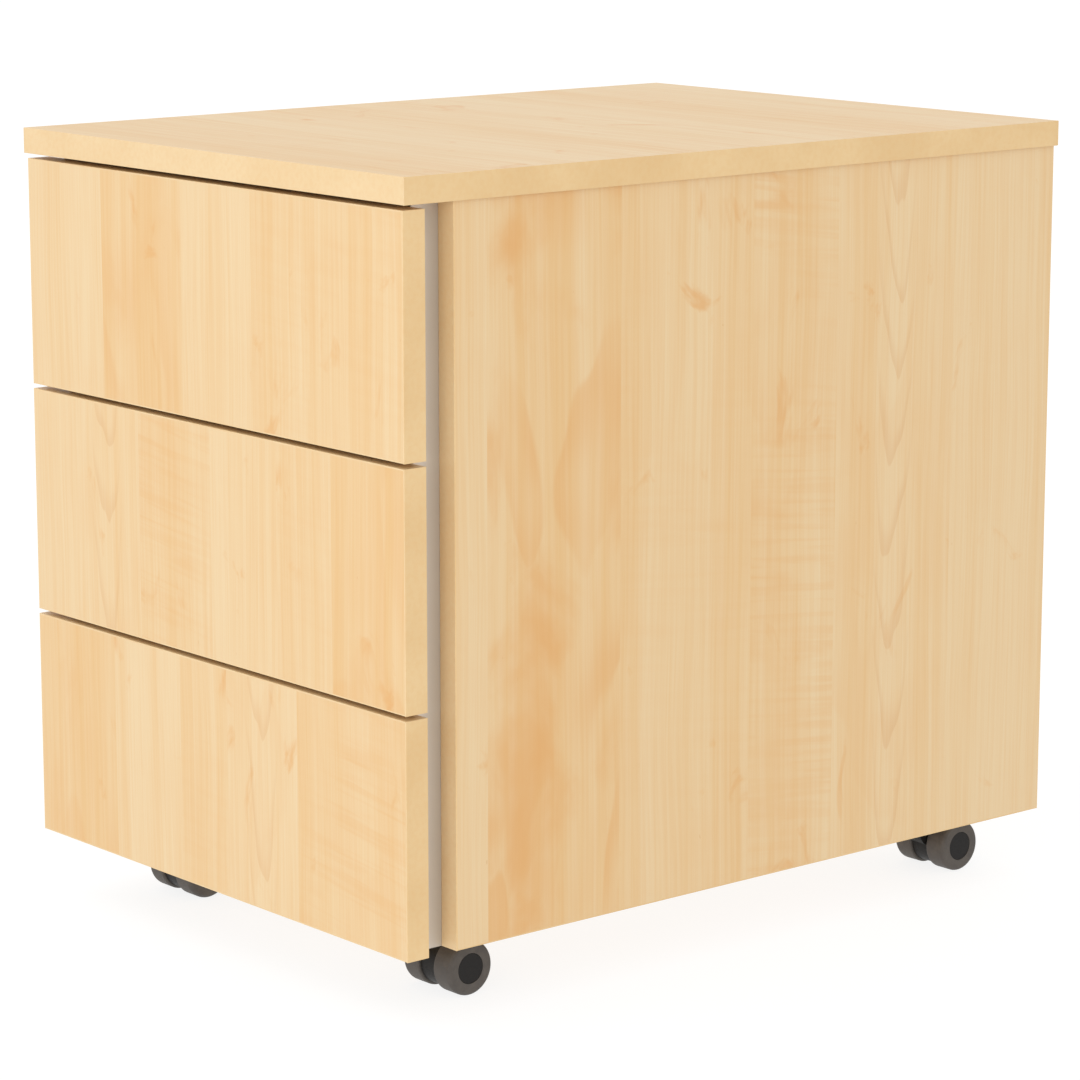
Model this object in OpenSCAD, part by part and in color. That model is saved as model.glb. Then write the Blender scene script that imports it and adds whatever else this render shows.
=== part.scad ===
// Rolling pedestal cabinet with three full-width drawers. The drawer fronts stand clear of the carcass,
// so that a finger recess is left behind them at each side, lined with a grip profile.
// Frame: X across the width, Y from front (-) to back (+), Z up. The origin is on the floor, at the
// centre of the top panel's outline.

/* [Cabinet] */
// Width of the drawer fronts and of the carcass
cabinet_width = 430; // [400:5:520]
// Depth of the top panel
top_depth = 600; // [590:5:700]
// Thickness of the top panel and of the drawer fronts
front_thickness = 18; // [16:1:22]
// Thickness of the side, bottom and back panels
panel_thickness = 16; // [16:1:19]
// Height of the side panels
side_height = 495; // [480:5:560]
// Overhang of the top beyond each side panel
side_overhang = 3; // [1:0.5:6]
// Overhang of the top beyond the drawer fronts and the back panel
end_overhang = 1; // [0.5:0.5:4]
// Thickness of the glued edge bands
band_thickness = 1; // [0.8:0.1:2]

/* [Drawers] */
// Gap above each drawer front
front_gap = 3.5; // [2:0.5:5]
// Depth of the finger recess between the drawer fronts and the side panels
grip_recess = 23; // [20:1:26]
// Thickness of the drawer box walls
wall_thickness = 12; // [10:1:15]
// Height of the drawer box walls
wall_height = 115; // [95:1:118]
// Length of the drawer box walls
wall_length = 500; // [460:10:500]
// Thickness of the drawer bottom
tray_thickness = 4; // [3:1:5]

/* [Runners] */
// Length of the cabinet rails and of the intermediate rails
rail_length = 500; // [450:10:500]
// Steel thickness of the rails
rail_sheet = 1.2; // [1:0.1:1.4]
// Thickness of the grip profiles
grip_sheet = 1.6; // [1:0.1:1.6]

/* [Casters] */
// Diameter of the wheels
wheel_diameter = 38; // [36:1:39]
// Height from the floor to the top of the mounting plate
caster_height = 49; // [49:1:60]
// Width of one wheel
wheel_width = 17; // [15:1:19]
// Distance from the swivel axis to the axle
caster_trail = 15; // [14:1:18]
// Distance from the outside of a side panel to a swivel axis
caster_side_inset = 63.5; // [58:0.5:80]
// Distance from the front edge of the side panels to the front swivel axes
caster_front_inset = 58; // [50:1:80]
// Distance from the back of the cabinet to the rear swivel axes
caster_back_inset = 57; // [50:1:80]

/* [Hidden] */
$fn = 96;
DRAWERS = ["lower", "middle", "upper"];
DRAWER_PIECES = ["front", "front_bands", "left_wall", "right_wall", "back_wall", "bottom",
                 "inner_rails", "intermediate_rails"];
CORNERS = ["front_left", "front_right", "rear_left", "rear_right"];
CASTER_PIECES = ["housing", "axle", "left_tread", "left_hub", "right_tread", "right_hub"];

eps = 0.01;      // how far a cut runs past the face that it opens
glue_fit = 0.1;  // clearance of a piece that is dropped or driven into a hole
run_fit = 0.05;  // radial clearance of a turning pin
merge = 1;       // how far one volume of a piece runs into the next

// Carcass
drawer_count = len(DRAWERS);
half_width = cabinet_width / 2;
inner_half = half_width - panel_thickness;
top_width = cabinet_width + 2 * side_overhang;
front_face = end_overhang - top_depth / 2;
front_back = front_face + front_thickness;
carcass_front = front_back + grip_recess;
carcass_back = top_depth / 2 - end_overhang;
carcass_depth = carcass_back - carcass_front;
back_face = carcass_back - panel_thickness;
base = caster_height;
under_top = base + side_height;
band_round = 0.4 * band_thickness;                // of the two outer edges of a band
band_joint = 0.05;                                // between two bands that meet at a corner

// Boards: which edges carry a band, in the order left, right, bottom, top of the board as it is drawn
ALL_EDGES = [1, 1, 1, 1];
SIDE_PANEL_EDGES = [1, 1, 1, 0];
FRONT_EDGE_ONLY = [0, 0, 1, 0];

// Grip profiles
grip_gap = 1.5;                                   // between a profile and the back of the drawer fronts
grip_front = front_back + grip_gap;
grip_lap = 20;                                    // of a profile on its side panel
grip_back = carcass_front + grip_lap;
grip_face = inner_half - grip_sheet;

// Drawers, measured from the bottom edge of each front
front_pitch = side_height / drawer_count;
front_height = front_pitch - front_gap;
wall_lift = 22;
tray_lift = 28;
inner_rail_setback = 6;                           // from the drawer front to its inner rails
groove_depth = 6;
runner_thickness = 12.7;
box_half = inner_half - runner_thickness;
wall_inner = box_half - wall_thickness;
box_back = front_back + wall_length;
function drawer_base(k) = base + k * front_pitch;
function rail_centre(k) = drawer_base(k) + wall_lift + wall_height / 2;

// Runners: three nested channels, each with its web upright and its flanges across
ball_space = 3.8;
cabinet_rail_half = 22.5;
middle_rail_half = cabinet_rail_half - rail_sheet - ball_space;
inner_rail_half = middle_rail_half - rail_sheet - ball_space;
flange_gap = 1.6;                                 // from a cabinet rail's flanges to the drawer wall
web_gap = 2.2;                                    // between the webs of the two outer rails
rail_gap = 2;                                     // from a grip profile to the rails behind it
cabinet_rail_reach = runner_thickness - flange_gap;
middle_rail_reach = 7.2;
inner_rail_reach = 7.4;
middle_rail_face = inner_half - rail_sheet - web_gap;
rail_front = grip_back + rail_gap;
inner_rail_front = front_back + inner_rail_setback;
inner_rail_length = wall_length - inner_rail_setback;
ball_play = 0.1;
ball_radius = ball_space / 2 - ball_play;
ball_count = 3;
cage_length = 70;
cage_inset = 10;
cage_sheet = 1;
cage_width = 3.2;

// Screws, all with the same thread and head
screw_radius = 1.7;
screw_length = 12;
screw_head_radius = 3.2;
screw_head_height = 1.4;
screw_slot_width = 0.7;
screw_slot_length = 4;
screw_tip_room = 0.5;
rail_screw_y = [for (share = [0.06, 0.48, 0.9]) rail_front + share * rail_length];
grip_screw_lift = 130;

// Cam fasteners. In its own frame a fastener's disc lies under the plane z = 0, and its bolt points along
// +X and crosses into the next panel at x = cam_reach.
cam_radius = 7.5;
cam_depth = 12.5;
cam_axis_depth = panel_thickness / 2;
cam_reach = 24;
cam_channel = 5.4;
cam_slot = [9, 1.4, 1.6];
cam_thread = 11;
cam_head_radius = 2.4;
cam_neck_radius = 1.6;
cam_shank_radius = 3.5;
cam_thread_radius = 2.5;
top_cam_y = [carcass_front + 60, carcass_back - 80];
floor_cam_y = [carcass_front + 130, carcass_back - 140];
back_cam_z = [base + 100, under_top - 100];
// Each fastener is [place, first turn, second turn]; s is -1 for the left end of a board and 1 for the right
function top_cams(s) = [for (y = top_cam_y)
    [[s * inner_half, y, under_top - cam_reach], [0, -90, 0], [0, 0, s > 0 ? 0 : 180]]];
function floor_cams(s) = [for (y = floor_cam_y)
    [[s * (inner_half - cam_reach), y, base], [180, 0, 0], [0, 0, s > 0 ? 0 : 180]]];
function back_cams(s) = [for (z = back_cam_z)
    [[s * (inner_half - cam_reach), back_face, z], [90, 0, 0], [0, s > 0 ? 0 : 180, 0]]];

// Casters: in a caster's own frame the swivel axis is Z, and the axle lies at y = caster_trail
wheel_radius = wheel_diameter / 2;
wheel_inside = 8;
wheel_outside = wheel_inside + wheel_width;
outer_shoulder = 3;
inner_shoulder = 1.5;
hub_radius = 10.7;
cap_radius = 10.4;
cap_depth = 2.5;
cap_recess = 0.2;
axle_radius = 2.5;
axle_cover = 5;                                   // from an axle's end to the outer face of the wheel
axle_end_room = 0.3;
axle_half = wheel_outside - axle_cover;
kingpin_radius = 4;
kingpin_bottom = 26;
plate_size = 42;
plate_thickness = 2;
plate_bottom = base - plate_thickness;
plate_hole_radius = 2;
plate_screw_offset = 15.5;
housing_gap = 0.4;                                // from the housing to the wheels and to the plate
housing_half = wheel_inside - housing_gap;
drum_step = 2;                                    // from the drum up to the tread
drum_radius = wheel_radius - drum_step;
neck_radius = 9;
neck_centre = 28;
head_radius = 14;
head_lift = 1.2;                                  // of the swivel head above the wheels
head_bottom = wheel_diameter + head_lift;
head_top = plate_bottom - housing_gap;
swivel_x = half_width - caster_side_inset;
front_swivel_y = carcass_front + caster_front_inset;
rear_swivel_y = carcass_back - caster_back_inset;
// [X, Y, which way the axle lies from the swivel axis], in the order of CORNERS
caster_spots = [
    [-swivel_x, front_swivel_y, -1],
    [swivel_x, front_swivel_y, -1],
    [-swivel_x, rear_swivel_y, 1],
    [swivel_x, rear_swivel_y, 1]
];

maple = "#edcf9c";
maple_band = "#e9c88c";
wall_grey = "#d8d8d6";
profile_grey = "#d2d0cd";
hardboard = "#c8c6c2";
steel = "#a9adb0";
black_plastic = "#2b2a29";
grey_rubber = "#5b5754";

// ---- shared shapes ----

// A box given by its lowest and highest corners
module block(low, high) {
    translate(low) cube(high - low);
}

// The children as they are drawn for the right-hand side (s = 1), or mirrored to the left (s = -1)
module on_side(s) {
    mirror([s > 0 ? 0 : 1, 0, 0]) children();
}

module both_sides() {
    for (s = [-1, 1]) on_side(s) children();
}

// A board lies in the XY plane around the origin with its thickness up Z; its bands are glued round it
module board_core(width, height, thickness, banded) {
    inset = banded * band_thickness;
    translate([inset[0] - width / 2, inset[2] - height / 2, 0])
        cube([width - inset[0] - inset[1], height - inset[2] - inset[3], thickness]);
}

// Section of a band: the glued side on x = 0, and the two outer edges rounded
module band_section(width) {
    square([band_thickness - band_round, width]);
    translate([0, band_round]) square([band_thickness, width - 2 * band_round]);
    for (y = [band_round, width - band_round])
        translate([band_thickness - band_round, y]) circle(r = band_round);
}

// The left and right bands run the full height, and the other two fit between them. Neighbours stay apart
// by a glue joint, so that each band is a piece of its own
module board_bands(width, height, thickness, banded) {
    inset = banded * (band_thickness + band_joint);
    for (i = [0, 1])
        if (banded[i] > 0)
            mirror([1 - i, 0, 0]) translate([width / 2 - band_thickness, height / 2, 0])
                rotate([90, 0, 0]) linear_extrude(height) band_section(thickness);
    for (i = [0, 1])
        if (banded[2 + i] > 0)
            mirror([0, 1 - i, 0]) translate([inset[0] - width / 2, height / 2 - band_thickness, 0])
                rotate([90, 0, 90]) linear_extrude(width - inset[0] - inset[1]) band_section(thickness);
}

// Where each kind of board stands
module top_place() {
    translate([0, 0, under_top]) children();
}

module side_place() {
    translate([inner_half, (carcass_front + carcass_back) / 2, base + side_height / 2])
        rotate([90, 0, 90]) children();
}

module floor_place() {
    translate([0, (carcass_front + back_face) / 2, base]) children();
}

module front_place(k) {
    translate([0, front_back, drawer_base(k) + front_height / 2]) rotate([90, 0, 0]) children();
}

module cam_place(cams) {
    for (cam = cams) translate(cam[0]) rotate(cam[2]) rotate(cam[1]) children();
}

// Bores for the disc and for the bolt's shank, in the panel that holds the disc
module cam_seat() {
    translate([0, 0, -cam_depth]) cylinder(r = cam_radius, h = cam_depth + eps);
    translate([0, 0, -cam_axis_depth]) rotate([0, 90, 0])
        cylinder(r = cam_shank_radius, h = cam_reach + eps);
}

// Bore for the bolt's thread, in the panel that the disc pulls tight
module cam_thread_bore() {
    translate([cam_reach - eps, 0, -cam_axis_depth]) rotate([0, 90, 0])
        cylinder(r = cam_thread_radius, h = cam_thread + glue_fit);
}

// A screw points up Z, with the underside of its head on z = 0
module screw() {
    cylinder(r = screw_radius, h = screw_length);
    difference() {
        translate([0, 0, -screw_head_height]) cylinder(r = screw_head_radius, h = screw_head_height);
        for (turn = [0, 90])
            rotate([0, 0, turn])
                translate([-screw_slot_length / 2, -screw_slot_width / 2, -screw_head_height - eps])
                    cube([screw_slot_length, screw_slot_width, screw_head_height / 2]);
    }
}

module screw_bore() {
    translate([0, 0, -eps]) cylinder(r = screw_radius + run_fit, h = screw_length + screw_tip_room);
}

// Screws in the webs of the cabinet rails on the right-hand side
module rail_screw_places() {
    for (k = [0 : drawer_count - 1], y = rail_screw_y)
        translate([inner_half, y, rail_centre(k)]) rotate([0, 90, 0]) children();
}

// Screws through the flange of the right-hand grip profile
module grip_screw_places() {
    for (k = [0 : drawer_count - 1])
        translate([inner_half, carcass_front + grip_lap / 2, drawer_base(k) + grip_screw_lift])
            rotate([0, 90, 0]) children();
}

module plate_screw_places() {
    for (spot = caster_spots, x = [-1, 1], y = [-1, 1])
        translate([spot[0] + x * plate_screw_offset, spot[1] + y * plate_screw_offset, base]) children();
}

// ---- carcass ----

module top_panel() {
    color(maple) difference() {
        top_place() board_core(top_width, top_depth, front_thickness, ALL_EDGES);
        for (s = [-1, 1]) cam_place(top_cams(s)) cam_thread_bore();
    }
}

module side_panel() {
    color(maple) difference() {
        side_place() board_core(carcass_depth, side_height, panel_thickness, SIDE_PANEL_EDGES);
        cam_place(top_cams(1)) cam_seat();
        cam_place(floor_cams(1)) cam_thread_bore();
        cam_place(back_cams(1)) cam_thread_bore();
        rail_screw_places() screw_bore();
        grip_screw_places() screw_bore();
    }
}

// The front corners are notched for the grip profiles
module bottom_panel() {
    color(maple) difference() {
        floor_place() board_core(2 * inner_half, back_face - carcass_front, panel_thickness, FRONT_EDGE_ONLY);
        both_sides() grip_notch();
        for (s = [-1, 1]) cam_place(floor_cams(s)) cam_seat();
        plate_screw_places() screw_bore();
    }
}

module grip_notch() {
    block([grip_face - glue_fit, carcass_front - eps, base - eps],
          [inner_half + eps, grip_back + glue_fit, base + panel_thickness + eps]);
}

module back_panel() {
    color(maple) difference() {
        block([-inner_half, back_face, base], [inner_half, carcass_back, under_top]);
        for (s = [-1, 1]) cam_place(back_cams(s)) cam_seat();
    }
}

module carcass_bands() {
    color(maple_band) {
        top_place() board_bands(top_width, top_depth, front_thickness, ALL_EDGES);
        both_sides() side_place() board_bands(carcass_depth, side_height, panel_thickness, SIDE_PANEL_EDGES);
        difference() {
            floor_place()
                board_bands(2 * inner_half, back_face - carcass_front, panel_thickness, FRONT_EDGE_ONLY);
            both_sides() grip_notch();
        }
    }
}

// A flat strip with a round front edge, screwed to the inside of the side panel
module grip_profile() {
    bead = grip_sheet / 2;
    color(profile_grey) difference() {
        translate([grip_face, 0, base]) linear_extrude(side_height) {
            translate([0, grip_front + bead]) square([grip_sheet, grip_back - grip_front - bead]);
            translate([bead, grip_front + bead]) circle(r = bead);
        }
        grip_screw_places() translate([0, 0, -2 * grip_sheet])
            cylinder(r = screw_radius + run_fit, h = 3 * grip_sheet);
    }
}

// ---- fasteners ----

module cam_fasteners() {
    color(steel) for (s = [-1, 1], cams = [top_cams(s), floor_cams(s), back_cams(s)])
        cam_place(cams) {
            cam_disc();
            cam_bolt();
        }
}

module cam_disc() {
    difference() {
        translate([0, 0, glue_fit - cam_depth])
            cylinder(r = cam_radius - glue_fit, h = cam_depth - 2 * glue_fit);
        translate([-cam_channel / 2, -cam_channel / 2, -cam_axis_depth - cam_channel / 2])
            cube([cam_radius + cam_channel, cam_channel, cam_channel]);
        for (turn = [0, 90])
            rotate([0, 0, turn]) translate([-cam_slot[0] / 2, -cam_slot[1] / 2, -cam_slot[2]]) cube(cam_slot);
    }
}

// Head, neck, shank and thread; the head sits inside the disc's channel
module cam_bolt() {
    translate([0, 0, -cam_axis_depth]) rotate([0, 90, 0]) {
        cylinder(r = cam_head_radius, h = cam_head_radius);
        cylinder(r = cam_neck_radius, h = cam_radius + merge);
        translate([0, 0, cam_radius]) {
            cylinder(r = cam_shank_radius - glue_fit, h = cam_reach - cam_radius);
            cylinder(r = cam_thread_radius - glue_fit, h = cam_reach + cam_thread - cam_radius);
        }
    }
}

module screws() {
    color(steel) {
        both_sides() {
            rail_screw_places() translate([0, 0, -rail_sheet]) screw();
            grip_screw_places() translate([0, 0, -grip_sheet]) screw();
        }
        plate_screw_places() translate([0, 0, -plate_thickness]) screw();
    }
}

// ---- drawers ----

module drawer_front(k) {
    color(maple) front_place(k) board_core(cabinet_width, front_height, front_thickness, ALL_EDGES);
}

module drawer_front_bands(k) {
    color(maple_band) front_place(k) board_bands(cabinet_width, front_height, front_thickness, ALL_EDGES);
}

// The wall on the right-hand side; its groove holds the edge of the drawer bottom
module drawer_wall(k) {
    z = drawer_base(k);
    color(wall_grey) difference() {
        block([wall_inner, front_back, z + wall_lift], [box_half, box_back, z + wall_lift + wall_height]);
        block([wall_inner - eps, front_back - eps, z + tray_lift - glue_fit],
              [wall_inner + groove_depth + glue_fit, box_back + eps,
               z + tray_lift + tray_thickness + glue_fit]);
    }
}

module drawer_back_wall(k) {
    z = drawer_base(k);
    color(wall_grey) block([-wall_inner, box_back - wall_thickness, z + tray_lift + tray_thickness],
                           [wall_inner, box_back, z + wall_lift + wall_height]);
}

module drawer_bottom(k) {
    z = drawer_base(k) + tray_lift;
    x = wall_inner + groove_depth;
    color(hardboard) block([-x, front_back, z], [x, box_back, z + tray_thickness]);
}

// ---- runners ----

// A channel along Y with the outside of its web at x = web, and flanges that reach towards -X or +X
module channel(web, reach, half, y, length, z) {
    back = web + sign(reach) * rail_sheet;
    block([min(web, back), y, z - half], [max(web, back), y + length, z + half]);
    for (s = [-1, 1])
        block([min(web, web + reach), y, z + min(s * half, s * (half - rail_sheet))],
              [max(web, web + reach), y + length, z + max(s * half, s * (half - rail_sheet))]);
}

module cabinet_rails() {
    color(steel) both_sides() difference() {
        for (k = [0 : drawer_count - 1])
            channel(inner_half, -cabinet_rail_reach, cabinet_rail_half, rail_front, rail_length,
                    rail_centre(k));
        rail_screw_places() translate([0, 0, -2 * rail_sheet])
            cylinder(r = screw_radius + run_fit, h = 3 * rail_sheet);
    }
}

// Each intermediate rail carries its ball cages: the outer pair at its rear end, the inner pair at its front
module intermediate_rails(k) {
    z = rail_centre(k);
    outer_cage_y = rail_front + rail_length - cage_length - cage_inset;
    color(steel) both_sides() {
        channel(middle_rail_face, -middle_rail_reach, middle_rail_half, rail_front, rail_length, z);
        for (s = [-1, 1]) {
            ball_cage(outer_cage_y, z + s * (middle_rail_half + ball_space / 2));
            ball_cage(rail_front + cage_inset, z + s * (inner_rail_half + ball_space / 2));
        }
    }
}

module ball_cage(y, z) {
    x = middle_rail_face - middle_rail_reach / 2;
    pitch = cage_length / ball_count;
    block([x - cage_width / 2, y, z - cage_sheet / 2],
          [x + cage_width / 2, y + cage_length, z + cage_sheet / 2]);
    for (i = [0 : ball_count - 1]) translate([x, y + pitch * (i + 0.5), z]) sphere(r = ball_radius);
}

module inner_rails(k) {
    color(steel) both_sides()
        channel(box_half, inner_rail_reach, inner_rail_half, inner_rail_front, inner_rail_length,
                rail_centre(k));
}

// ---- casters ----

module caster_place(i) {
    spot = caster_spots[i];
    translate([spot[0], spot[1], 0]) mirror([0, spot[2] > 0 ? 0 : 1, 0]) children();
}

module along_axle() {
    translate([0, caster_trail, wheel_radius]) rotate([0, 90, 0]) children();
}

// Mounting plates, each with its kingpin riveted in
module caster_plates() {
    color(steel) for (i = [0 : len(CORNERS) - 1]) caster_place(i) {
        difference() {
            translate([-plate_size / 2, -plate_size / 2, plate_bottom])
                cube([plate_size, plate_size, plate_thickness]);
            for (x = [-1, 1], y = [-1, 1])
                translate([x * plate_screw_offset, y * plate_screw_offset, plate_bottom - eps])
                    cylinder(r = plate_hole_radius, h = plate_thickness + 2 * eps);
        }
        translate([0, 0, kingpin_bottom])
            cylinder(r = kingpin_radius, h = plate_bottom - kingpin_bottom + merge);
    }
}

// Swivel head under the plate, and the neck and drum between the wheels
module caster_housing(i) {
    color(black_plastic) caster_place(i) difference() {
        union() {
            translate([0, 0, head_bottom]) cylinder(r = head_radius, h = head_top - head_bottom);
            translate([-housing_half, 0, 0]) rotate([90, 0, 90]) linear_extrude(2 * housing_half) {
                translate([caster_trail, wheel_radius]) circle(r = drum_radius);
                translate([0, neck_centre]) circle(r = neck_radius);
                translate([-neck_radius, neck_centre])
                    square([caster_trail + neck_radius, head_bottom - neck_centre + merge]);
            }
        }
        translate([0, 0, kingpin_bottom - merge]) cylinder(r = kingpin_radius + run_fit, h = head_top);
        along_axle() cylinder(r = axle_radius + run_fit, h = 4 * housing_half, center = true);
    }
}

module caster_axle(i) {
    color(steel) caster_place(i) along_axle() cylinder(r = axle_radius, h = 2 * axle_half, center = true);
}

// Wheel sections: the first coordinate is the radius, and the second runs out along the axle
module tread_section() {
    round_start = wheel_outside - outer_shoulder;
    translate([hub_radius, wheel_inside])
        square([wheel_radius - outer_shoulder - hub_radius, wheel_width]);
    translate([hub_radius, wheel_inside])
        square([wheel_radius - inner_shoulder - hub_radius, wheel_width - outer_shoulder]);
    translate([hub_radius, wheel_inside + inner_shoulder])
        square([wheel_radius - hub_radius, wheel_width - inner_shoulder - outer_shoulder]);
    translate([wheel_radius - outer_shoulder, round_start]) circle(r = outer_shoulder);
    translate([wheel_radius - inner_shoulder, wheel_inside + inner_shoulder]) circle(r = inner_shoulder);
}

// The cap at the outer end leaves a fine groove round itself
module hub_section() {
    bore = axle_radius + run_fit;
    end = wheel_outside - cap_depth;
    difference() {
        union() {
            translate([0, wheel_inside]) square([hub_radius, end - wheel_inside]);
            translate([0, wheel_inside]) square([cap_radius, wheel_width - cap_recess]);
        }
        translate([0, wheel_inside - eps]) square([bore, axle_half + axle_end_room - wheel_inside]);
    }
}

// s is -1 for the wheel on the left of the caster and 1 for the one on the right
module wheel_place(i, s) {
    caster_place(i) translate([0, caster_trail, wheel_radius]) rotate([0, s * 90, 0])
        rotate_extrude() children();
}

module caster_tread(i, s) {
    color(grey_rubber) wheel_place(i, s) tread_section();
}

module caster_hub(i, s) {
    color(black_plastic) wheel_place(i, s) hub_section();
}

// ---- nodes ----

top_panel();
on_side(-1) side_panel();  // left_side_panel
on_side(1) side_panel();  // right_side_panel
bottom_panel();
back_panel();
carcass_bands();
on_side(-1) grip_profile();  // left_grip_profile
on_side(1) grip_profile();  // right_grip_profile
cam_fasteners();
cabinet_rails();
caster_plates();
screws();

for (k = [0 : drawer_count - 1]) {
    drawer = str(DRAWERS[k], "_drawer_");
    drawer_front(k);
    drawer_front_bands(k);
    on_side(-1) drawer_wall(k);
    on_side(1) drawer_wall(k);
    drawer_back_wall(k);
    drawer_bottom(k);
    inner_rails(k);
    intermediate_rails(k);
}

for (i = [0 : len(CORNERS) - 1]) {
    caster = str(CORNERS[i], "_caster_");
    caster_housing(i);
    caster_axle(i);
    caster_tread(i, -1);
    caster_hub(i, -1);
    caster_tread(i, 1);
    caster_hub(i, 1);
}
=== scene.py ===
# Rolling pedestal cabinet: looks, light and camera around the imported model.
# Lengths are in metres, except the widths of the maple's staves, which are in millimetres.
import math
import random

import bpy
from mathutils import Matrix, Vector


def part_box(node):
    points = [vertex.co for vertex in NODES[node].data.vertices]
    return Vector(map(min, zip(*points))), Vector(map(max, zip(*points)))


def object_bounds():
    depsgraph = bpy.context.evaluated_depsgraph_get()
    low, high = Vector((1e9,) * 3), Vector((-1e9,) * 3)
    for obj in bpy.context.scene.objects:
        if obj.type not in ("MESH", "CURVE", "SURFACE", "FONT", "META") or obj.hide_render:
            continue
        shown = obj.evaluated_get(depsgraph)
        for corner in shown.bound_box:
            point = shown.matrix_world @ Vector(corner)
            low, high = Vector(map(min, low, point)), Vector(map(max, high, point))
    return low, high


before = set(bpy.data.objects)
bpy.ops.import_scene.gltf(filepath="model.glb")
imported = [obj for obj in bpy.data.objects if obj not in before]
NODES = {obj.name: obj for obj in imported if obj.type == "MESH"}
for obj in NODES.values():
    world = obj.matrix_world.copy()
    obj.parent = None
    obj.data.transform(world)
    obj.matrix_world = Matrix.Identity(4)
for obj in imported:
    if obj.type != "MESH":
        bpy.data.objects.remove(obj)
cad_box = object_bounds()

DRAWERS = ("lower", "middle", "upper")
CORNERS = ("front_left", "front_right", "rear_left", "rear_right")
SIDES = ("left", "right")


# ---- camera: off the front right corner, tilted down, without lens shift ----

CAMERA_PLACE = (2.154, -1.818, 0.822)
CAMERA_TURN = math.radians(49.92)
CAMERA_TILT = math.radians(11.3)
CAMERA_LENS = 131.3


def make_camera():
    camera = bpy.data.objects.new("camera", bpy.data.cameras.new("camera"))
    camera.data.lens = CAMERA_LENS
    camera.location = CAMERA_PLACE
    camera.rotation_euler = (math.pi / 2 - CAMERA_TILT, 0, CAMERA_TURN)
    bpy.context.scene.collection.objects.link(camera)
    bpy.context.scene.camera = camera


# ---- node graphs ----


def linear(red, green, blue):
    """A colour given as the eye sees it, from 0 to 255, as the shader's own linear values."""
    def channel(value):
        value /= 255
        return value / 12.92 if value <= 0.04045 else ((value + 0.055) / 1.055) ** 2.4
    return (channel(red), channel(green), channel(blue), 1.0)


class Graph:
    """A material with a Principled shader, and short calls that add nodes to it."""

    def __init__(self, name, roughness=0.5, metallic=0.0, specular=0.5):
        self.material = bpy.data.materials.new(name)
        self.material.use_nodes = True
        self.tree = self.material.node_tree
        self.shader = self.tree.nodes["Principled BSDF"]
        self.shader.inputs["Roughness"].default_value = roughness
        self.shader.inputs["Metallic"].default_value = metallic
        self.shader.inputs["Specular IOR Level"].default_value = specular
        coordinates = self.add("ShaderNodeTexCoord").outputs
        self.place = coordinates["Object"]
        self.facing = coordinates["Normal"]

    def add(self, kind, **settings):
        node = self.tree.nodes.new(kind)
        for key, value in settings.items():
            setattr(node, key, value)
        return node

    def put(self, socket, value):
        """Link a socket into another one, or set a plain value on it."""
        if isinstance(value, bpy.types.NodeSocket):
            self.tree.links.new(value, socket)
        else:
            socket.default_value = value

    def math(self, operation, first, second=0.0):
        node = self.add("ShaderNodeMath", operation=operation)
        self.put(node.inputs[0], first)
        self.put(node.inputs[1], second)
        return node.outputs[0]

    def plus(self, first, second):
        return self.math("ADD", first, second)

    def minus(self, first, second):
        return self.math("SUBTRACT", first, second)

    def times(self, first, second):
        return self.math("MULTIPLY", first, second)

    def split(self, vector):
        node = self.add("ShaderNodeSeparateXYZ")
        self.put(node.inputs[0], vector)
        return node.outputs

    def join(self, x, y, z):
        node = self.add("ShaderNodeCombineXYZ")
        for socket, value in zip(node.inputs, (x, y, z)):
            self.put(socket, value)
        return node.outputs[0]

    def noise(self, vector, cells, shift=(0.0, 0.0, 0.0), detail=2.0, roughness=0.5, distortion=0.0):
        """Noise from 0 to 1, with so many cells a metre along each axis of the vector."""
        mapping = self.add("ShaderNodeMapping")
        self.put(mapping.inputs["Vector"], vector)
        mapping.inputs["Scale"].default_value = cells
        mapping.inputs["Location"].default_value = shift
        node = self.add("ShaderNodeTexNoise")
        self.put(node.inputs["Vector"], mapping.outputs[0])
        node.inputs["Scale"].default_value = 1.0
        node.inputs["Detail"].default_value = detail
        node.inputs["Roughness"].default_value = roughness
        node.inputs["Distortion"].default_value = distortion
        return node.outputs["Fac"]

    def span(self, value, low, high, to_low=0.0, to_high=1.0):
        """A value's stretch from low to high, taken smoothly to another stretch."""
        node = self.add("ShaderNodeMapRange", interpolation_type="SMOOTHSTEP")
        for socket, entry in zip(node.inputs, (value, low, high, to_low, to_high)):
            self.put(socket, entry)
        return node.outputs[0]

    def mix(self, factor, first, second):
        node = self.add("ShaderNodeMix", data_type="RGBA")
        self.put(node.inputs[0], factor)
        self.put(node.inputs[6], first)
        self.put(node.inputs[7], second)
        return node.outputs[2]

    def steps(self, position, starts, values):
        """Values (three numbers each) that hold from each start on, along a line from 0 to 1."""
        node = self.add("ShaderNodeValToRGB")
        self.put(node.inputs[0], position)
        ramp = node.color_ramp
        ramp.interpolation = "CONSTANT"
        while len(ramp.elements) < len(starts):
            ramp.elements.new(0.5)
        for element, start in zip(ramp.elements, starts):
            element.position = start
        for element, value in zip(ramp.elements, values):
            element.color = (*value, 1.0)
        return self.split(node.outputs[0])

    def colour(self, value):
        self.put(self.shader.inputs["Base Color"], value)

    def rough(self, value):
        self.put(self.shader.inputs["Roughness"], value)

    def bump(self, height, distance, strength):
        """Relief of a height from 0 to 1, at most a distance deep."""
        node = self.add("ShaderNodeBump")
        node.inputs["Strength"].default_value = strength
        node.inputs["Distance"].default_value = distance
        self.put(node.inputs["Height"], height)
        self.put(self.shader.inputs["Normal"], node.outputs[0])


# ---- maple ----

PALE = linear(220, 194, 152)
HONEY = linear(216, 179, 126)
TAN = linear(212, 158, 94)
LINE = linear(198, 144, 86)

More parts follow.
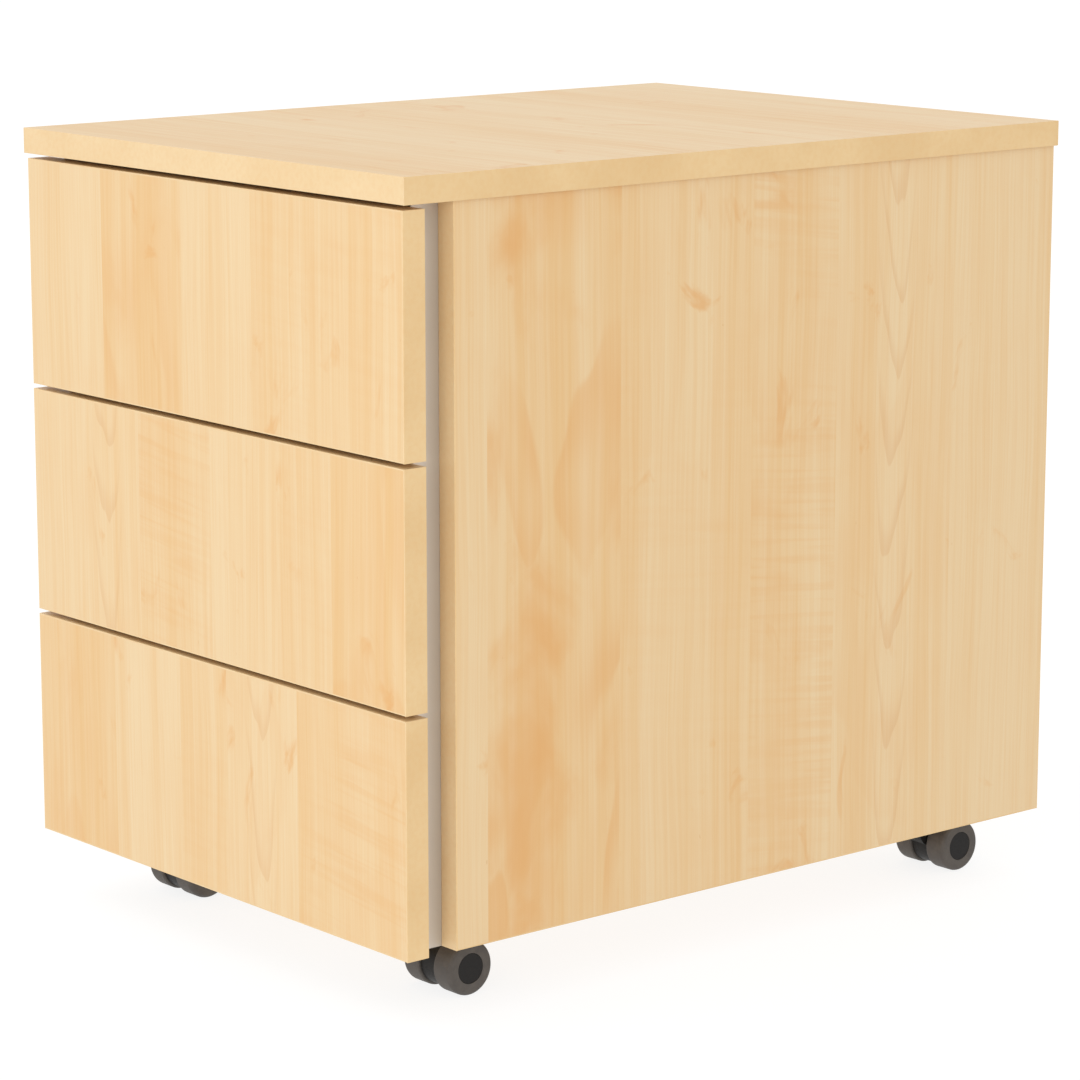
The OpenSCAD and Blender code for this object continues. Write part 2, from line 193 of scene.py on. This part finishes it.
MAPLE_SPECULAR = 0.45

# The kinds of stave, from 0 to 1: how warm, how cloudy, how much curl across the grain, and arches or none
KINDS = {
    "pale": (0.08, 0.08, 0.06, 0.0),
    "fine": (0.30, 0.12, 0.22, 0.0),
    "honey": (0.62, 0.45, 0.0, 0.0),
    "cloudy": (0.55, 1.0, 0.0, 0.0),
    "curly": (0.32, 0.25, 1.0, 0.0),
    "arched": (0.20, 0.20, 0.05, 1.0),
}

# The boards that show: the width of each stave in millimetres and its kind, from the front or the left
TOP = [(110, "fine"), (80, "pale"), (115, "fine"), (95, "pale"), (110, "fine"), (90, "pale")]
RIGHT_SIDE = [(25, "pale"), (115, "cloudy"), (120, "fine"), (80, "curly"), (115, "arched"), (100, "pale")]
FRONTS = {
    "upper": [(90, "pale"), (95, "honey"), (80, "pale"), (65, "fine"), (100, "fine")],
    "middle": [(50, "pale"), (80, "arched"), (85, "curly"), (75, "pale"), (60, "fine"), (80, "honey")],
    "lower": [(95, "honey"), (80, "pale"), (55, "fine"), (80, "arched"), (120, "curly")],
}

# The staves of the other boards: their widths in millimetres, to choose from
CHANCE_WIDTHS = (60, 80, 95, 115)

# Each stave's grain starts at a place of its own along a stretch this long
SLIDE = 9.0

# How wide the slow drift of the fibres is, from side to side
DRIFT = 0.014

# Arches: how many to the metre, how sharply they bend back, how far they wobble, and where they fade
ARCHES = 15.0
ARCH_BEND = 240.0
ARCH_WOBBLE = 0.14
ARCH_FULL = 0.008
ARCH_GONE = 0.022

# Curl runs across the grain with this slope
CURL_SLOPE = 0.12


def chance_staves(seed, length):
    """Staves for a board out of view, as many as its width in metres takes, no two alike in a row."""
    chance = random.Random(seed)
    staves = []
    last = None
    while sum(width for width, kind in staves) < length * 1000:
        last = chance.choice([kind for kind in sorted(KINDS) if kind != last])
        staves.append((chance.choice(CHANCE_WIDTHS), last))
    return staves


def arches(g, off, b, grain):
    """Nested lines around the middle of a stave, each with a sharp outer side and a soft inner one."""
    bend = g.times(g.times(off, off), ARCH_BEND)
    wobble = g.times(g.noise(grain, (30, 6, 1), detail=2), ARCH_WOBBLE)
    turn = g.math("FRACT", g.times(g.minus(g.plus(bend, wobble), b), ARCHES))
    line = g.times(g.span(turn, 0.60, 0.96), g.span(turn, 1.0, 0.97))
    return g.times(line, g.span(g.math("ABSOLUTE", off), ARCH_GONE, ARCH_FULL))


def clouds(g, grain):
    """Soft tan patches, and in some places the tan rims of pale eyes."""
    patch = g.noise(grain, (17, 9, 1), (1, 8, 6), detail=4, distortion=0.4)
    swirl = g.noise(grain, (13, 4, 1), (5, 2, 9), detail=2, roughness=0.4)
    ring = g.math("FRACT", g.times(swirl, 5.0))
    rim = g.times(g.span(ring, 0.20, 0.90), g.span(ring, 1.0, 0.88))
    where = g.span(g.noise(grain, (6, 5, 1), (2, 7, 3)), 0.38, 0.58)
    return g.math("MAXIMUM", g.span(patch, 0.46, 0.74), g.times(g.times(rim, where), 0.75))


def knots(g, grain):
    """A few small tan spots."""
    spot = g.noise(grain, (24, 15, 1), (7, 3, 5), detail=4, roughness=0.6, distortion=0.8)
    where = g.span(g.noise(grain, (8, 7, 1), (3, 1, 8)), 0.46, 0.54)
    return g.times(g.times(g.span(spot, 0.59, 0.74), where), 0.85)


def curls(g, a, b, grain, seed):
    """Fine ripples and a few broad bands across the grain, in patches."""
    tilted = g.join(a, g.plus(b, g.times(a, CURL_SLOPE)), seed)
    ripple = g.noise(tilted, (9, 150, 1), detail=2, distortion=0.4)
    broad = g.noise(tilted, (12, 42, 1), (2, 5, 3), detail=2)
    where = g.span(g.noise(grain, (7, 5, 1), (4, 9, 2)), 0.36, 0.60)
    return g.times(g.plus(g.span(ripple, 0.42, 0.64, 0.0, 0.38), g.span(broad, 0.55, 0.74, 0.0, 0.58)), where)


def maple(name, node, across, along, seed, staves=None):
    """Maple melamine: staves side by side across the board of a node, with the grain along it."""
    g = Graph(name, specular=MAPLE_SPECULAR)
    axes = g.split(g.place)
    a = axes["XYZ".index(across)]
    b = axes["XYZ".index(along)]
    low, high = (corner["XYZ".index(across)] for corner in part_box(node))
    length = high - low
    staves = staves or chance_staves(seed, length)

    # what kind of stave this place is on, and how far it is from the middle of it
    place = g.math("DIVIDE", g.minus(a, low), length)
    starts = [sum(width for width, kind in staves[:i]) / 1000 / length for i in range(len(staves))]
    middles = [start + width / 2000 / length for start, (width, kind) in zip(starts, staves)]
    slides = [(0.37 * seed + 0.61 * i) % 1.0 for i in range(len(staves))]
    kinds = [KINDS[kind] for width, kind in staves]
    warm, clouded, curled = g.steps(place, starts, [kind[:3] for kind in kinds])
    arched, middle, slide = g.steps(place, starts, [(k[3], m, s) for k, m, s in zip(kinds, middles, slides)])
    off = g.times(g.minus(place, middle), length)
    b = g.plus(b, g.times(slide, SLIDE))
    grain = g.join(g.plus(a, seed * 1.37), b, seed)

    # bands, streaks, fibres and pores follow a slow drift
    drift = g.times(g.minus(g.noise(grain, (9, 3, 1)), 0.5), DRIFT)
    drifted = g.join(g.plus(a, drift), b, seed)
    bands = g.noise(drifted, (32, 1.0, 1))
    streaks = g.noise(drifted, (150, 1.8, 1), detail=4, roughness=0.6)
    fibres = g.noise(drifted, (560, 7, 1), detail=3, roughness=0.6)
    pores = g.noise(drifted, (1500, 60, 1))
    fleck = g.span(g.noise(grain, (300, 110, 1), (3, 2, 8), detail=1), 0.80, 0.87)

    cloud = g.math("MAXIMUM", g.times(clouds(g, grain), clouded), knots(g, grain))
    curl = g.times(curls(g, a, b, grain, seed), curled)
    arch = g.times(arches(g, off, b, grain), arched)

    # the colour, from the broadest change to the finest
    tone = g.plus(g.span(bands, 0.3, 0.7, -0.22, 0.30), g.span(streaks, 0.3, 0.7, -0.22, 0.26))
    wood = g.mix(g.plus(warm, tone), PALE, HONEY)
    wood = g.mix(g.times(cloud, 0.80), wood, TAN)
    wood = g.mix(g.times(curl, 0.60), wood, TAN)
    wood = g.mix(g.times(arch, 0.25), wood, LINE)
    wood = g.mix(g.span(fibres, 0.35, 0.75, 0.0, 0.20), wood, TAN)
    wood = g.mix(g.times(fleck, 0.5), wood, LINE)
    g.colour(wood)
    g.rough(g.span(fibres, 0.3, 0.7, 0.42, 0.52))
    g.bump(g.plus(g.times(fibres, 0.6), g.times(pores, 0.4)), 0.00006, 0.5)
    return g.material


def edge_band():
    """Plain band in the maple's colour, with only a faint grain; on the faces to the sides it is darker and
    warmer, as painted shade.
    """
    g = Graph("edge_band", specular=MAPLE_SPECULAR)
    cloud = g.span(g.noise(g.place, (14, 14, 14), detail=3), 0.3, 0.7)
    fine = g.noise(g.place, (260, 260, 260))
    # Painted shade: a lit tone for faces to the front, top and back, and a darker, warmer shaded tone for
    # faces turned to the sides.
    front = g.mix(cloud, linear(223, 196, 152), linear(219, 189, 142))
    side = g.mix(cloud, linear(221, 190, 140), linear(215, 181, 129))
    side_shade_mask = g.math("ABSOLUTE", g.split(g.facing)[0])
    wood = g.mix(g.span(side_shade_mask, 0.3, 0.8), front, side)
    g.colour(g.mix(g.span(fine, 0.35, 0.7, 0.0, 0.12), wood, TAN))
    g.rough(g.span(fine, 0.3, 0.7, 0.40, 0.48))
    g.bump(fine, 0.00004, 0.4)
    return g.material


# ---- the other materials ----


def speckled(name, first, second, grain=300, specular=0.5):
    """A moulded, coated or painted surface: a soft cloud of two tones under a fine grain."""
    g = Graph(name, specular=specular)
    cloud = g.noise(g.place, (18, 18, 18), detail=3)
    fine = g.noise(g.place, (grain, grain, grain), detail=3, roughness=0.6)
    tone = g.plus(g.span(cloud, 0.3, 0.7, 0.0, 0.5), g.span(fine, 0.3, 0.7, 0.0, 0.5))
    g.colour(g.mix(tone, first, second))
    g.rough(g.span(fine, 0.3, 0.7, 0.45, 0.55))
    g.bump(fine, 0.00004, 0.6)
    return g.material


def grip_paint_with_shade(node):
    """The painted strip in the recess, with painted shade: paler toward the front and darker toward the back,
    where it laps the side panel.
    """
    g = Graph("grip_profile", specular=0.4)
    front, back = (corner[1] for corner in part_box(node))
    depth = g.split(g.place)[1]
    shade_fade_end = front + 0.55 * (back - front)
    cloud = g.noise(g.place, (18, 18, 18), detail=3)
    fine = g.noise(g.place, (300, 300, 300), detail=3, roughness=0.6)
    # Painted shade: the strip's colour darkens from its front toward the back, where it meets the side panel.
    shaded_paint = g.mix(g.span(depth, front, shade_fade_end), linear(222, 213, 202), linear(186, 176, 162))
    g.colour(g.mix(g.span(cloud, 0.3, 0.7, 0.0, 0.12), shaded_paint, linear(172, 160, 144)))
    g.rough(g.span(fine, 0.3, 0.7, 0.38, 0.48))
    g.bump(fine, 0.00004, 0.6)
    return g.material


def zinc_steel():
    """Zinc-plated steel, drawn along Y."""
    g = Graph("zinc_steel", metallic=1.0)
    drawn = g.noise(g.place, (1400, 14, 1400))
    cloud = g.noise(g.place, (40, 12, 40))
    g.colour(g.mix(g.span(cloud, 0.2, 0.8), linear(193, 195, 199), linear(180, 183, 188)))
    g.rough(g.plus(g.span(drawn, 0.3, 0.7, 0.26, 0.34), g.span(cloud, 0.2, 0.8, 0.0, 0.04)))
    g.bump(drawn, 0.00002, 0.5)
    return g.material


def rubber():
    """The wheels' grey tread, a little scuffed."""
    g = Graph("wheel_tread", specular=0.3)
    scuff = g.noise(g.place, (120, 120, 120), detail=4, roughness=0.65)
    fine = g.noise(g.place, (1500, 1500, 1500))
    g.colour(g.mix(g.span(scuff, 0.35, 0.7), linear(78, 73, 69), linear(89, 84, 79)))
    g.rough(g.span(scuff, 0.3, 0.7, 0.52, 0.68))
    g.bump(fine, 0.00005, 0.6)
    return g.material


# ---- which node gets what ----


def assign(material, *nodes):
    for node in nodes:
        slots = NODES[node].data.materials
        slots.clear()
        slots.append(material)


def dress_carcass(band, steel):
    for node, across, along, seed, staves in (
        ("top_panel", "Y", "X", 1, TOP),
        ("left_side_panel", "Y", "Z", 2, None),
        ("right_side_panel", "Y", "Z", 3, RIGHT_SIDE),
        ("back_panel", "X", "Z", 4, None),
        ("bottom_panel", "X", "Y", 5, None),
    ):
        assign(maple(f"maple_{node}", node, across, along, seed, staves), node)
    assign(band, "carcass_bands")
    assign(grip_paint_with_shade("right_grip_profile"), "left_grip_profile", "right_grip_profile")
    assign(steel, "cam_fasteners", "cabinet_rails", "caster_plates", "screws")


def dress_drawers(band, steel):
    wall = speckled("drawer_wall", linear(216, 216, 214), linear(208, 208, 206))
    tray = speckled("drawer_bottom", linear(203, 201, 196), linear(194, 191, 186), grain=500)
    first_seed = 6
    for seed, drawer in enumerate(DRAWERS, first_seed):
        name = f"{drawer}_drawer_"
        front = name + "front"
        assign(maple(f"maple_{front}", front, "X", "Z", seed, FRONTS[drawer]), front)
        assign(band, name + "front_bands")
        assign(wall, name + "left_wall", name + "right_wall", name + "back_wall")
        assign(tray, name + "bottom")
        assign(steel, name + "inner_rails", name + "intermediate_rails")


def dress_casters(steel):
    plastic = speckled("caster_plastic", linear(31, 29, 28), linear(25, 24, 23), grain=900, specular=0.2)
    tread = rubber()
    for corner in CORNERS:
        name = f"{corner}_caster_"
        assign(plastic, name + "housing")
        assign(steel, name + "axle")
        for side in SIDES:
            assign(tread, name + side + "_tread")
            assign(plastic, name + side + "_hub")


def dress():
    band = edge_band()
    steel = zinc_steel()
    dress_carcass(band, steel)
    dress_drawers(band, steel)
    dress_casters(steel)


# ---- floor and light: a white studio, with a floor that mostly glows by itself, so shadows stay faint ----

WHITE = (1.0, 1.0, 1.0, 1.0)
FLOOR_HALF = 40.0
FLOOR_DROP = 0.0002
FLOOR_GREY = 0.17
FLOOR_GLOW = 0.85


def make_floor():
    """A large plate, just under the wheels."""
    mesh = bpy.data.meshes.new("floor")
    corners = [(x * FLOOR_HALF, y * FLOOR_HALF, 0) for x, y in ((-1, -1), (1, -1), (1, 1), (-1, 1))]
    mesh.from_pydata(corners, [], [(0, 1, 2, 3)])
    floor = bpy.data.objects.new("floor", mesh)
    floor.location.z = -FLOOR_DROP
    bpy.context.scene.collection.objects.link(floor)
    g = Graph("floor", roughness=0.9, specular=0.1)
    g.colour((FLOOR_GREY, FLOOR_GREY, FLOOR_GREY, 1.0))
    g.shader.inputs["Emission Color"].default_value = WHITE
    g.shader.inputs["Emission Strength"].default_value = FLOOR_GLOW
    mesh.materials.append(g.material)


def area_light(name, place, size, power):
    """A square soft box of so many watts that points at the middle of the cabinet."""
    light = bpy.data.lights.new(name, "AREA")
    light.size = size
    light.energy = power
    lamp = bpy.data.objects.new(name, light)
    lamp.location = place
    low, high = cad_box
    lamp.rotation_euler = ((low + high) / 2 - lamp.location).to_track_quat("-Z", "Y").to_euler()
    bpy.context.scene.collection.objects.link(lamp)


def make_light():
    """White light from all round, a key light high on the left and a fill light low on the right."""
    world = bpy.data.worlds.new("studio")
    world.use_nodes = True
    background = world.node_tree.nodes["Background"]
    background.inputs["Color"].default_value = WHITE
    background.inputs["Strength"].default_value = 1.0
    bpy.context.scene.world = world
    area_light("key_light", (-1.3, -2.3, 3.8), 2.6, 29)
    area_light("fill_light", (1.8, -3.05, 1.0), 1.6, 27)


make_camera()
dress()
make_floor()
make_light()
bpy.context.scene.view_settings.view_transform = "Standard"
